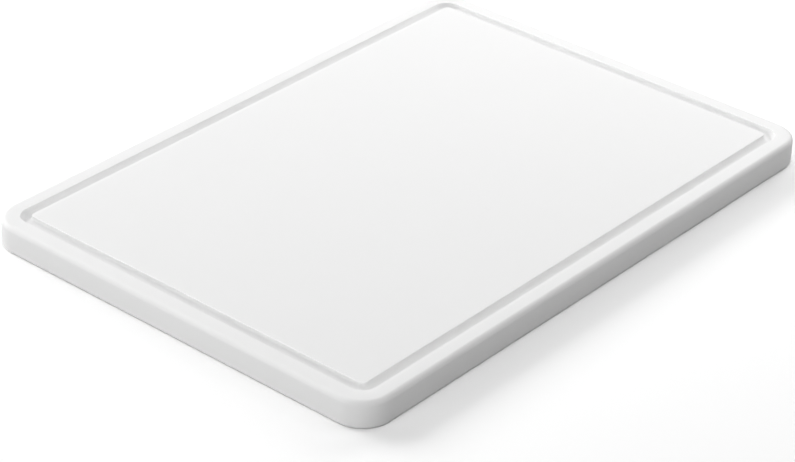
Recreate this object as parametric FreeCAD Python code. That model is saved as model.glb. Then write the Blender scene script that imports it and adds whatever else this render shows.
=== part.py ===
"""One-piece plastic cutting board: a thick slab with a juice groove milled round its top face.

Millimetres. +Z is up, +X runs along the long side, and the origin is the centre of the underside.
"""
import FreeCAD
import Part
import math
import os

# Driving dimensions
LENGTH = 425.0
WIDTH = 300.0
THICKNESS = 18.0
CORNER_RADIUS = 20.0        # the four upright corners, in plan
TOP_EDGE_RADIUS = 3.2       # round-over between the rim and the sides
BOTTOM_EDGE_RADIUS = 1.9    # round-over between the underside and the sides
GROOVE_SETBACK = 14.6       # from a side of the board to the middle of the groove
GROOVE_CUTTER_RADIUS = 3.5  # the round-nosed cutter that mills the groove
GROOVE_DEPTH = 4.0
GROOVE_TURN_RADIUS = 7.0    # the middle of the groove at each corner
LIP_RADIUS = 0.3            # eased edge on both sides of the groove

UP = FreeCAD.Vector(0, 0, 1)


def rounded_rectangle(length, width, radius, height):
    """Closed wire of a rectangle with round corners, centred on the origin at the given height."""
    half_length = length / 2
    half_width = width / 2
    along = half_length - radius
    across = half_width - radius

    def point(x, y):
        return FreeCAD.Vector(x, y, height)

    def corner(sign_x, sign_y, start_degrees):
        centre = point(sign_x * along, sign_y * across)
        circle = Part.Circle(centre, UP, radius)
        start = math.radians(start_degrees)
        return Part.Arc(circle, start, start + math.pi / 2).toShape()

    edges = [
        Part.LineSegment(point(-along, -half_width), point(along, -half_width)).toShape(),
        corner(1, -1, 270),
        Part.LineSegment(point(half_length, -across), point(half_length, across)).toShape(),
        corner(1, 1, 0),
        Part.LineSegment(point(along, half_width), point(-along, half_width)).toShape(),
        corner(-1, 1, 90),
        Part.LineSegment(point(-half_length, across), point(-half_length, -across)).toShape(),
        corner(-1, -1, 180),
    ]
    return Part.Wire(edges)


def edges_at_height(shape, height):
    """Edges that lie wholly in the level plane at the given height."""
    tolerance = 1e-6
    found = []
    for edge in shape.Edges:
        box = edge.BoundBox
        if abs(box.ZMin - height) < tolerance and abs(box.ZMax - height) < tolerance:
            found.append(edge)
    return found


def plain_slab():
    """The slab with its round corners and rounded-over edges, before the groove is milled."""
    outline = Part.Face(rounded_rectangle(LENGTH, WIDTH, CORNER_RADIUS, 0))
    slab = outline.extrude(UP * THICKNESS)
    slab = slab.makeFillet(TOP_EDGE_RADIUS, edges_at_height(slab, THICKNESS))
    return slab.makeFillet(BOTTOM_EDGE_RADIUS, edges_at_height(slab, 0))


def groove_section():
    """Wire across the groove, in the plane X = 0: round floor, upright walls and two eased lips."""
    middle = -WIDTH / 2 + GROOVE_SETBACK
    wall = GROOVE_CUTTER_RADIUS
    mouth = GROOVE_CUTTER_RADIUS + LIP_RADIUS
    wall_foot = THICKNESS - GROOVE_DEPTH + GROOVE_CUTTER_RADIUS
    wall_head = THICKNESS - LIP_RADIUS
    above = THICKNESS + GROOVE_DEPTH

    def point(y, z):
        return FreeCAD.Vector(0, middle + y, z)

    def lip_middle(side):
        """Point halfway round a lip's quarter circle."""
        reach = LIP_RADIUS * math.sqrt(0.5)
        return point(side * (mouth - reach), wall_head + reach)

    edges = [
        Part.Arc(point(-mouth, THICKNESS), lip_middle(-1), point(-wall, wall_head)).toShape(),
        Part.LineSegment(point(-wall, wall_head), point(-wall, wall_foot)).toShape(),
        Part.Arc(point(-wall, wall_foot), point(0, wall_foot - wall), point(wall, wall_foot)).toShape(),
        Part.LineSegment(point(wall, wall_foot), point(wall, wall_head)).toShape(),
        Part.Arc(point(wall, wall_head), lip_middle(1), point(mouth, THICKNESS)).toShape(),
        Part.LineSegment(point(mouth, THICKNESS), point(mouth, above)).toShape(),
        Part.LineSegment(point(mouth, above), point(-mouth, above)).toShape(),
        Part.LineSegment(point(-mouth, above), point(-mouth, THICKNESS)).toShape(),
    ]
    return Part.Wire(edges)


def groove_cutter():
    """The material that the milling cutter takes away, as one closed ring."""
    path_length = LENGTH - 2 * GROOVE_SETBACK
    path_width = WIDTH - 2 * GROOVE_SETBACK
    path = rounded_rectangle(path_length, path_width, GROOVE_TURN_RADIUS, THICKNESS)
    return path.makePipeShell([groove_section()], True, False)


def cutting_board():
    return plain_slab().cut(groove_cutter())


def main():
    os.makedirs("parts", exist_ok=True)
    board = cutting_board()
    print("valid", board.isValid(), "solids", len(board.Solids), "volume", round(board.Volume))
    board.exportStep("parts/board.step")


main()
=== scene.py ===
"""Studio picture of a white polyethylene cutting board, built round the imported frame.

Metres and degrees, in the part's own frame: +X along the long side, +Z up, and the underside on the floor.
"""
import math

import bpy
from mathutils import Matrix, Vector


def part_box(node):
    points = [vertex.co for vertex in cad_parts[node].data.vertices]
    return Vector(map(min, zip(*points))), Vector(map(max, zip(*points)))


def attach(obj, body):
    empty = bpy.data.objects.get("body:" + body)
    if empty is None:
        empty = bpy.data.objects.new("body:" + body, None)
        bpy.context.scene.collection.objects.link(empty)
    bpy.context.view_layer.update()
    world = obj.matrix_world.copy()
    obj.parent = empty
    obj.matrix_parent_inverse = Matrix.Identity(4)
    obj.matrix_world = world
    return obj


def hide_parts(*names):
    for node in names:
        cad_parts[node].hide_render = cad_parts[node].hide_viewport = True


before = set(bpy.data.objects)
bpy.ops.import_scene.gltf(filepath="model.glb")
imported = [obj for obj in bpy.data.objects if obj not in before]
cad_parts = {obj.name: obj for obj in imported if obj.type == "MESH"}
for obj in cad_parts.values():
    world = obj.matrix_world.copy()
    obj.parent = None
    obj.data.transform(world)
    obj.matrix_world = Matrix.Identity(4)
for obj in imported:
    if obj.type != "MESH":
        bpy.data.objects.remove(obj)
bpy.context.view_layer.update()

# The board, with the same driving dimensions as the CAD part
LOW_CORNER, HIGH_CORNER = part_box("board")
HALF_LENGTH = (HIGH_CORNER.x - LOW_CORNER.x) / 2
HALF_WIDTH = (HIGH_CORNER.y - LOW_CORNER.y) / 2
THICKNESS = HIGH_CORNER.z - LOW_CORNER.z
CORNER_RADIUS = 0.02
TOP_EDGE_RADIUS = 0.0032
BOTTOM_EDGE_RADIUS = 0.0019
GROOVE_SETBACK = 0.0146
GROOVE_CUTTER_RADIUS = 0.0035
GROOVE_DEPTH = 0.004
GROOVE_TURN_RADIUS = 0.007
LIP_RADIUS = 0.0003

# How finely each stretch of the board is meshed
CORNER_STEPS = 28
LENGTH_STEPS = 44
WIDTH_STEPS = 32
EDGE_STEPS = 12
GROOVE_STEPS = 28
LIP_STEPS = 5
SIDE_STEPS = 4
RIM_STEPS = 4

# Camera
LENS = 125.4                # millimetres
SENSOR = 36.0               # millimetres
CAMERA_AZIMUTH = -50.32
CAMERA_ELEVATION = 30.80
CAMERA_ROLL = 1.84
CAMERA_DISTANCE = 1.68
CAMERA_TARGET = Vector((-0.0349, -0.0204, 0.0))
CLIP_START = 0.05
CLIP_END = 20.0

# Light. The key lights are behind the board, so its front side is in shade.
SOFTBOXES = [
    # name, azimuth, elevation, distance, side of its square, power in watts
    ("back_key", 180, 30, 1.8, 0.8, 10.1),
    ("back_left_key", 202, 30, 1.8, 0.8, 12.1),
    ("left_low_fill", 270, 12, 1.8, 0.8, 8.3),
    ("back_right_fill", 135, 30, 1.8, 0.8, 4.4),
    ("back_right_close", 135, 52, 0.9, 0.4, 0.5),
    ("right_close", 90, 30, 0.9, 0.4, 2.3),
    ("front_right_high", 45, 52, 1.8, 0.8, 5.1),
    ("front_left_high", 315, 52, 1.8, 0.8, 7.3),
    ("overhead", 0, 88, 1.8, 0.8, 3.3),
]

# Floor
FLOOR_REACH = 4.0
FLOOR_GAP = 0.0001          # keeps the floor just clear of the underside
FLOOR_BOUNCE = 0.77         # how much light the paper gives back to the board
FLOOR_SHOWN = 1.10          # how light it looks: over 1, so that it is plain white outside the shadow
FADE_START = 0.45           # from this far out to FADE_END, the paper turns into the white backdrop
FADE_END = 1.0

# Plastic
PLASTIC_DIM = (0.857, 0.857, 0.855, 1.0)
PLASTIC_BRIGHT = (0.864, 0.864, 0.863, 1.0)
SINK_DEPTH = 0.0027         # how far light travels inside the plastic before it comes out
FACE_ROUGHNESS = 0.64       # of the pressed faces and the sides
GROOVE_ROUGHNESS = 0.56
ROUGHNESS_SPREAD = 0.05     # either way, from patch to patch
CLOUD_SIZE = 0.03           # blots of tint
CLOUD_DETAIL = 4.0
PATCH_SIZE = 0.012          # patches of more or less gloss
PATCH_DETAIL = 2.0
GRAIN_SIZE = 0.0008         # grain of the surface
GRAIN_DETAIL = 2.0
FACE_GRAIN = 8e-6           # depth of the grain on each finish
SIDE_GRAIN = 4e-6
GROOVE_GRAIN = 3e-6
SIDE_MARKS = (2.6e-3, 5e-6)     # spacing and depth of the router's ripples on the sides
GROOVE_MARKS = (1.3e-3, 3e-6)   # and of the feed marks in the groove
MARK_WANDER = 1.5           # how unevenly the marks follow each other
MARK_DETAIL = 1.0
MARK_DETAIL_SCALE = 0.4
WAVE_RADIANS = 20           # how far Blender's wave texture turns per unit at scale 1

# The board's finishes, in the order of its materials
FACE, SIDE, GROOVE = range(3)


# --- the board's mesh ---

class Ring:
    """One closed line round the board: a rounded rectangle at one height.

    It also carries which way the surface faces there, how far along the profile it lies, and the finish of
    the strip of surface that ends on it.
    """

    def __init__(self, inset, height, turn_radius, outward, upward):
        self.inset = inset
        self.height = height
        self.turn_radius = turn_radius
        self.outward = outward
        self.upward = upward
        self.along = 0.0
        self.finish = FACE


def plan_directions():
    """For each point of a ring: two neighbouring corners, how far it is between them, and its outward angle.

    A corner is a pair of signs, in X and Y. A point on a corner's arc has not left it, so its share is 0.
    """
    corners = [(1, -1, -90), (1, 1, 0), (-1, 1, 90), (-1, -1, 180)]
    side_steps = [WIDTH_STEPS, LENGTH_STEPS, WIDTH_STEPS, LENGTH_STEPS]
    points = []
    for index, (sign_x, sign_y, start) in enumerate(corners):
        next_x, next_y, _ = corners[(index + 1) % 4]
        for step in range(CORNER_STEPS):
            angle = math.radians(start + 90 * step / CORNER_STEPS)
            points.append((sign_x, sign_y, sign_x, sign_y, 0.0, angle))
        end_angle = math.radians(start + 90)
        for step in range(side_steps[index]):
            share = step / side_steps[index]
            points.append((sign_x, sign_y, next_x, next_y, share, end_angle))
    return points


def ring_points(ring, plan):
    """Positions and outward directions of one ring's points."""
    reach_x = HALF_LENGTH - ring.inset - ring.turn_radius
    reach_y = HALF_WIDTH - ring.inset - ring.turn_radius
    positions = []
    normals = []
    for from_x, from_y, to_x, to_y, share, angle in plan:
        sign_x = from_x + (to_x - from_x) * share
        sign_y = from_y + (to_y - from_y) * share
        direction = Vector((math.cos(angle), math.sin(angle), 0.0))
        centre = Vector((sign_x * reach_x, sign_y * reach_y, ring.height))
        positions.append(centre + direction * ring.turn_radius)
        normals.append(direction * ring.outward + Vector((0.0, 0.0, ring.upward)))
    return positions, normals


def arc_rings(centre_inset, centre_height, radius, start, end, steps, turn_at_centre, hollow=False):
    """Rings along an arc of the profile. At angle 0 the arc points outward, and at 90 up.

    A hollow arc's surface faces its own centre, as the groove's floor does.
    """
    rings = []
    facing = -1 if hollow else 1
    for step in range(steps + 1):
        angle = math.radians(start + (end - start) * step / steps)
        outward = math.cos(angle)
        upward = math.sin(angle)
        rings.append(Ring(
            centre_inset - radius * outward,
            centre_height + radius * upward,
            turn_at_centre + radius * outward,
            facing * outward,
            facing * upward,
        ))
    return rings


def between(first, last, steps):
    """The rings between two rings that face the same way, evenly spaced, without those two."""
    rings = []
    for step in range(1, steps):
        share = step / steps
        rings.append(Ring(
            first.inset + (last.inset - first.inset) * share,
            first.height + (last.height - first.height) * share,
            first.turn_radius + (last.turn_radius - first.turn_radius) * share,
            first.outward,
            first.upward,
        ))
    return rings


def profile():
    """All rings from the underside, round the outside and over the rim and groove to the panel."""
    underside = LOW_CORNER.z
    top = underside + THICKNESS
    lower = arc_rings(BOTTOM_EDGE_RADIUS, underside + BOTTOM_EDGE_RADIUS, BOTTOM_EDGE_RADIUS,
                      -90, 0, EDGE_STEPS, CORNER_RADIUS - BOTTOM_EDGE_RADIUS)
    upper = arc_rings(TOP_EDGE_RADIUS, top - TOP_EDGE_RADIUS, TOP_EDGE_RADIUS,
                      0, 90, EDGE_STEPS, CORNER_RADIUS - TOP_EDGE_RADIUS)
    mouth = GROOVE_CUTTER_RADIUS + LIP_RADIUS
    outer_lip = arc_rings(GROOVE_SETBACK - mouth, top - LIP_RADIUS, LIP_RADIUS,
                          90, 180, LIP_STEPS, GROOVE_TURN_RADIUS + mouth)
    floor_centre = top - GROOVE_DEPTH + GROOVE_CUTTER_RADIUS
    floor = arc_rings(GROOVE_SETBACK, floor_centre, GROOVE_CUTTER_RADIUS,
                      0, -180, GROOVE_STEPS, GROOVE_TURN_RADIUS, hollow=True)
    inner_lip = arc_rings(GROOVE_SETBACK + mouth, top - LIP_RADIUS, LIP_RADIUS,
                          0, 90, LIP_STEPS, GROOVE_TURN_RADIUS - mouth)
    wall = between(lower[-1], upper[0], SIDE_STEPS)
    rim = between(upper[-1], outer_lip[0], RIM_STEPS) + outer_lip[:1]
    sections = [
        (lower + wall + upper, SIDE),
        (rim, FACE),
        (outer_lip[1:] + floor + inner_lip, GROOVE),
    ]
    rings = []
    for section, finish in sections:
        for ring in section:
            if rings:
                before = rings[-1]
                step = math.hypot(ring.inset - before.inset, ring.height - before.height)
                ring.along = before.along + step
            ring.finish = finish
            rings.append(ring)
    return rings


class Surface:
    """The board's vertices and faces as they are built up, with each face's map corners and finish."""

    def __init__(self):
        self.vertices = []
        self.normals = []
        self.faces = []
        self.face_uvs = []
        self.finishes = []

    def add_face(self, corners, uvs, finish):
        self.faces.append(corners)
        self.face_uvs.append(uvs)
        self.finishes.append(finish)


def add_strips(surface, rings, plan):
    """Adds the rings' points, and the strip of surface between each ring and the next."""
    count = len(plan)
    for ring in rings:
        positions, directions = ring_points(ring, plan)
        surface.vertices.extend(positions)
        surface.normals.extend(directions)

    run = [0.0]
    for i in range(count):
        step = surface.vertices[(i + 1) % count] - surface.vertices[i]
        run.append(run[-1] + step.length)

    for level, (lower, upper) in enumerate(zip(rings, rings[1:])):
        low = level * count
        high = low + count
        for i in range(count):
            j = (i + 1) % count
            corners = (low + i, low + j, high + j, high + i)
            before = lower.along
            after = upper.along
            uvs = [(run[i], before), (run[i + 1], before), (run[i + 1], after), (run[i], after)]
            surface.add_face(corners, uvs, upper.finish)


def grid_rows(surface, loop, columns, rows, facing):
    """Fills a closed loop of vertices with a grid, and returns the grid as rows of vertex numbers.

    The loop runs anticlockwise seen from above, from the grid's lower left corner.
    """
    vertices = surface.vertices
    total = len(loop)
    bottom = [loop[i] for i in range(columns + 1)]
    right = [loop[columns + i] for i in range(rows + 1)]
    top = [loop[(2 * columns + rows - i) % total] for i in range(columns + 1)]
    left = [loop[(2 * columns + 2 * rows - i) % total] for i in range(rows + 1)]
    grid = [bottom]
    for row in range(1, rows):
        v = row / rows
        line = [left[row]]
        for column in range(1, columns):
            u = column / columns
            sides = vertices[left[row]] * (1 - u) + vertices[right[row]] * u
            ends = vertices[bottom[column]] * (1 - v) + vertices[top[column]] * v
            lower = vertices[bottom[0]] * (1 - u) + vertices[bottom[-1]] * u
            upper = vertices[top[0]] * (1 - u) + vertices[top[-1]] * u
            line.append(len(vertices))
            vertices.append(sides + ends - lower * (1 - v) - upper * v)
            surface.normals.append(Vector((0.0, 0.0, facing)))
        line.append(right[row])
        grid.append(line)
    grid.append(top)
    return grid


def add_level_face(surface, first, count, facing):
    """Fills the ring whose points start at number `first`. Facing is 1 for up and -1 for down."""
    columns = LENGTH_STEPS + CORNER_STEPS
    rows = WIDTH_STEPS + CORNER_STEPS
    start = count - LENGTH_STEPS - CORNER_STEPS // 2
    loop = [first + (start + i) % count for i in range(count)]
    grid = grid_rows(surface, loop, columns, rows, facing)
    for lower, upper in zip(grid, grid[1:]):
        for i in range(columns):
            corners = [lower[i], lower[i + 1], upper[i + 1], upper[i]]
            if facing < 0:
                corners.reverse()
            uvs = [(surface.vertices[c].x, surface.vertices[c].y) for c in corners]
            surface.add_face(corners, uvs, FACE)


def build_board():
    """The whole board as one closed mesh, without its materials."""
    surface = Surface()
    plan = plan_directions()
    rings = profile()
    add_strips(surface, rings, plan)
    count = len(plan)
    add_level_face(surface, (len(rings) - 1) * count, count, 1.0)
    add_level_face(surface, 0, count, -1.0)

    mesh = bpy.data.meshes.new("board_body")
    mesh.from_pydata(surface.vertices, [], surface.faces)
    layer = mesh.uv_layers.new(name="run_and_profile")
    flat_uvs = [value for uvs in surface.face_uvs for uv in uvs for value in uv]
    layer.data.foreach_set("uv", flat_uvs)
    mesh.polygons.foreach_set("material_index", surface.finishes)
    mesh.shade_smooth()
    mesh.normals_split_custom_set_from_vertices([normal.normalized() for normal in surface.normals])
    mesh.validate()
    piece = bpy.data.objects.new("board_body", mesh)
    bpy.context.scene.collection.objects.link(piece)
    return piece


# --- materials ---

def new_material(name):
    """A material, its node tree and its one shader, joined to the output."""
    material = bpy.data.materials.new(name)
    material.use_nodes = True
    tree = material.node_tree
    tree.nodes.clear()
    output = tree.nodes.new("ShaderNodeOutputMaterial")
    shader = tree.nodes.new("ShaderNodeBsdfPrincipled")
    tree.links.new(shader.outputs["BSDF"], output.inputs["Surface"])
    return material, tree, shader


def noise(tree, points, size, detail):
    """Values from 0 to 1 in soft blots about `size` metres across."""
    node = tree.nodes.new("ShaderNodeTexNoise")
    node.inputs["Scale"].default_value = 1 / size
    node.inputs["Detail"].default_value = detail
    tree.links.new(points, node.inputs["Vector"])
    return node.outputs["Fac"]


def between_values(tree, share, low, high):
    """Turns 0 to 1 into low to high."""
    node = tree.nodes.new("ShaderNodeMapRange")
    node.inputs["To Min"].default_value = low
    node.inputs["To Max"].default_value = high
    tree.links.new(share, node.inputs["Value"])
    return node.outputs["Result"]


def cutter_marks(tree, spacing):
    """Ripples that a cutter leaves across its path, one every `spacing` metres of the way round the board."""
    layer = tree.nodes.new("ShaderNodeUVMap")
    layer.uv_map = "run_and_profile"
    node = tree.nodes.new("ShaderNodeTexWave")
    node.bands_direction = "X"
    node.inputs["Scale"].default_value = 2 * math.pi / WAVE_RADIANS / spacing
    node.inputs["Distortion"].default_value = MARK_WANDER
    node.inputs["Detail"].default_value = MARK_DETAIL
    node.inputs["Detail Scale"].default_value = MARK_DETAIL_SCALE
    tree.links.new(layer.outputs["UV"], node.inputs["Vector"])
    return node.outputs["Fac"]


def bump(tree, height, depth, normal=None):
    """A normal for a surface that stands `depth` metres higher where height is 1 than where it is 0."""
    node = tree.nodes.new("ShaderNodeBump")
    node.inputs["Distance"].default_value = depth
    tree.links.new(height, node.inputs["Height"])
    if normal is not None:
        tree.links.new(normal, node.inputs["Normal"])
    return node.outputs["Normal"]


def polyethylene(name, grain_depth, roughness, marks=None):
    """White polyethylene that light sinks into. `marks` is the spacing and depth of any cutter marks."""
    material, tree, shader = new_material(name)
    shader.inputs["Subsurface Weight"].default_value = 1.0
    shader.inputs["Subsurface Radius"].default_value = (1.0, 1.0, 1.0)
    shader.inputs["Subsurface Scale"].default_value = SINK_DEPTH
    points = tree.nodes.new("ShaderNodeTexCoord").outputs["Object"]

    tint = tree.nodes.new("ShaderNodeMixRGB")
    tint.inputs["Color1"].default_value = PLASTIC_DIM
    tint.inputs["Color2"].default_value = PLASTIC_BRIGHT
    tree.links.new(noise(tree, points, CLOUD_SIZE, CLOUD_DETAIL), tint.inputs["Fac"])
    tree.links.new(tint.outputs["Color"], shader.inputs["Base Color"])

    patches = noise(tree, points, PATCH_SIZE, PATCH_DETAIL)
    gloss = between_values(tree, patches, roughness - ROUGHNESS_SPREAD, roughness + ROUGHNESS_SPREAD)
    tree.links.new(gloss, shader.inputs["Roughness"])

    normal = bump(tree, noise(tree, points, GRAIN_SIZE, GRAIN_DETAIL), grain_depth)
    if marks:
        spacing, depth = marks
        normal = bump(tree, cutter_marks(tree, spacing), depth, normal)
    tree.links.new(normal, shader.inputs["Normal"])
    return material


def finish_board(board):
    """Gives the board its three finishes, in the order of FACE, SIDE and GROOVE."""
    materials = board.data.materials
    materials.append(polyethylene("pressed_face", FACE_GRAIN, FACE_ROUGHNESS))
    materials.append(polyethylene("routed_side", SIDE_GRAIN, FACE_ROUGHNESS, SIDE_MARKS))
    materials.append(polyethylene("milled_groove", GROOVE_GRAIN, GROOVE_ROUGHNESS, GROOVE_MARKS))


# --- stage ---

def shader_node(tree, kind, lightness):
    """A plain shader of that kind in one shade. Lightness 0 is black and 1 is white."""
    node = tree.nodes.new(kind)
    node.inputs["Color"].default_value = (lightness, lightness, lightness, 1.0)
    return node


def mix_shaders(tree, share, first, second):
    """The first shader where share is 0 and the second where it is 1."""
    node = tree.nodes.new("ShaderNodeMixShader")
    tree.links.new(share, node.inputs[0])
    tree.links.new(first.outputs[0], node.inputs[1])
    tree.links.new(second.outputs[0], node.inputs[2])
    return node


def distance_fade(tree, start, end):
    """0 up to `start` metres from the middle of the object, rising softly to 1 at `end`."""
    position = tree.nodes.new("ShaderNodeTexCoord")
    distance = tree.nodes.new("ShaderNodeVectorMath")
    distance.operation = "LENGTH"
    tree.links.new(position.outputs["Object"], distance.inputs[0])
    fade = tree.nodes.new("ShaderNodeMapRange")
    fade.interpolation_type = "SMOOTHSTEP"
    fade.inputs["From Min"].default_value = start
    fade.inputs["From Max"].default_value = end
    tree.links.new(distance.outputs["Value"], fade.inputs["Value"])
    return fade.outputs["Result"]


def white_paper():
    """Paper that looks whiter to the camera than it lights the board, and glows white far out."""
    material = bpy.data.materials.new("white_paper")
    material.use_nodes = True
    tree = material.node_tree
    tree.nodes.clear()
    bounced = shader_node(tree, "ShaderNodeBsdfDiffuse", FLOOR_BOUNCE)
    near = shader_node(tree, "ShaderNodeBsdfDiffuse", FLOOR_SHOWN)
    far = shader_node(tree, "ShaderNodeEmission", 1.0)
    shown = mix_shaders(tree, distance_fade(tree, FADE_START, FADE_END), near, far)
    path = tree.nodes.new("ShaderNodeLightPath")
    paper = mix_shaders(tree, path.outputs["Is Camera Ray"], bounced, shown)
    output = tree.nodes.new("ShaderNodeOutputMaterial")
    tree.links.new(paper.outputs[0], output.inputs["Surface"])
    return material


def build_floor():
    """A flat sheet of paper just under the board."""
    height = LOW_CORNER.z - FLOOR_GAP
    corners = []
    for x, y in ((-1, -1), (1, -1), (1, 1), (-1, 1)):
        corners.append((x * FLOOR_REACH, y * FLOOR_REACH, height))
    mesh = bpy.data.meshes.new("floor")
    mesh.from_pydata(corners, [], [(0, 1, 2, 3)])
    mesh.materials.append(white_paper())
    floor = bpy.data.objects.new("floor", mesh)
    bpy.context.scene.collection.objects.link(floor)


def direction_to(azimuth, elevation):
    """Unit vector towards a place seen at that azimuth and elevation. Azimuth 0 is -Y, and 90 is +X."""
    a = math.radians(azimuth)
    e = math.radians(elevation)
    return Vector((math.sin(a) * math.cos(e), -math.cos(a) * math.cos(e), math.sin(e)))


def softbox(name, azimuth, elevation, distance, side, power):
    """A square light that faces the board."""
    light = bpy.data.lights.new(name, "AREA")
    light.shape = "SQUARE"
    light.size = side
    light.energy = power
    lamp = bpy.data.objects.new(name, light)
    towards = direction_to(azimuth, elevation)
    lamp.location = towards * distance
    lamp.rotation_euler = towards.to_track_quat("Z", "Y").to_euler()
    bpy.context.scene.collection.objects.link(lamp)


def build_backdrop():
    """A surround that looks white but gives no light, so that all light comes from the softboxes."""
    world = bpy.data.worlds.new("studio")
    bpy.context.scene.world = world
    world.use_nodes = True
    tree = world.node_tree
    tree.nodes.clear()
    unlit = shader_node(tree, "ShaderNodeBackground", 0.0)
    white = shader_node(tree, "ShaderNodeBackground", 1.0)
    path = tree.nodes.new("ShaderNodeLightPath")
    backdrop = mix_shaders(tree, path.outputs["Is Camera Ray"], unlit, white)
    output = tree.nodes.new("ShaderNodeOutputWorld")
    tree.links.new(backdrop.outputs[0], output.inputs["Surface"])


def build_camera():
    """A camera that looks at CAMERA_TARGET, tilted a little about its own line of sight."""
    data = bpy.data.cameras.new("camera")
    data.lens = LENS
    data.sensor_width = SENSOR
    data.sensor_fit = "HORIZONTAL"
    data.clip_start = CLIP_START
    data.clip_end = CLIP_END
    back = direction_to(CAMERA_AZIMUTH, CAMERA_ELEVATION)
    level_right = Vector((0.0, 0.0, 1.0)).cross(back).normalized()
    level_up = back.cross(level_right)
    roll = math.radians(CAMERA_ROLL)
    right = level_right * math.cos(roll) + level_up * math.sin(roll)
    up = level_up * math.cos(roll) - level_right * math.sin(roll)
    turn = Matrix((right, up, back)).transposed()
    camera = bpy.data.objects.new("camera", data)
    camera.matrix_world = Matrix.Translation(CAMERA_TARGET + back * CAMERA_DISTANCE) @ turn.to_4x4()
    bpy.context.scene.collection.objects.link(camera)
    bpy.context.scene.camera = camera


# --- the scene ---

board_body = build_board()
finish_board(board_body)
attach(board_body, "root")
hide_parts("board")

build_floor()
for settings in SOFTBOXES:
    softbox(*settings)
build_backdrop()
build_camera()
bpy.context.scene.view_settings.view_transform = "Standard"
